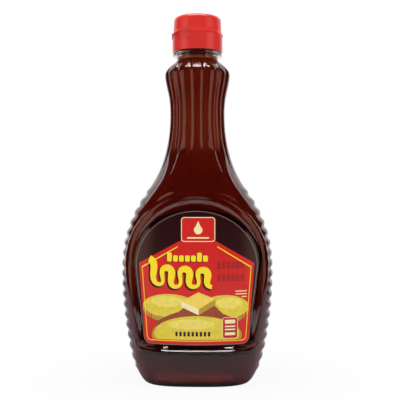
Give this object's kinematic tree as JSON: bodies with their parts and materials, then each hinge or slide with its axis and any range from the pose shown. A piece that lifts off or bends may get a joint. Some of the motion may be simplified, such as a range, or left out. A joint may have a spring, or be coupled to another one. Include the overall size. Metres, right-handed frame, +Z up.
{
  "type": "syrup bottle",
  "caption": "Clear oval squeeze bottle of dark syrup with ribbed sides, a fluted neck, a front label and a red flip-top cap.",
  "frame": {"origin": "on the table, under the neck's axis, which is the middle of the bottle's outline", "axes": "+Z up the neck, -Y out of the front with the main label, +X to the right of someone who faces the front"},
  "size_m": [0.1018, 0.0658, 0.2444],
  "materials": {
    "clear_plastic": "clear blown polyester, glossy",
    "syrup": "dark red-brown syrup",
    "label": "glossy printed film in red, maroon and yellow",
    "cap": "moulded red polypropylene, satin gloss"
  },
  "bodies": {
    "bottle": {"bottle": "clear_plastic", "syrup": "syrup", "label_front": "label", "label_back": "label", "cap_base": "cap"},
    "lid": {"cap_lid": "cap"}
  },
  "joints": [
    {"name": "lid_hinge", "type": "hinge", "parent": "bottle", "child": "lid", "pos_m": [-0.01586, -0.0074, 0.2321], "axis": [0.4226, -0.9063, 0], "range_deg": [0, 120]}
  ]
}
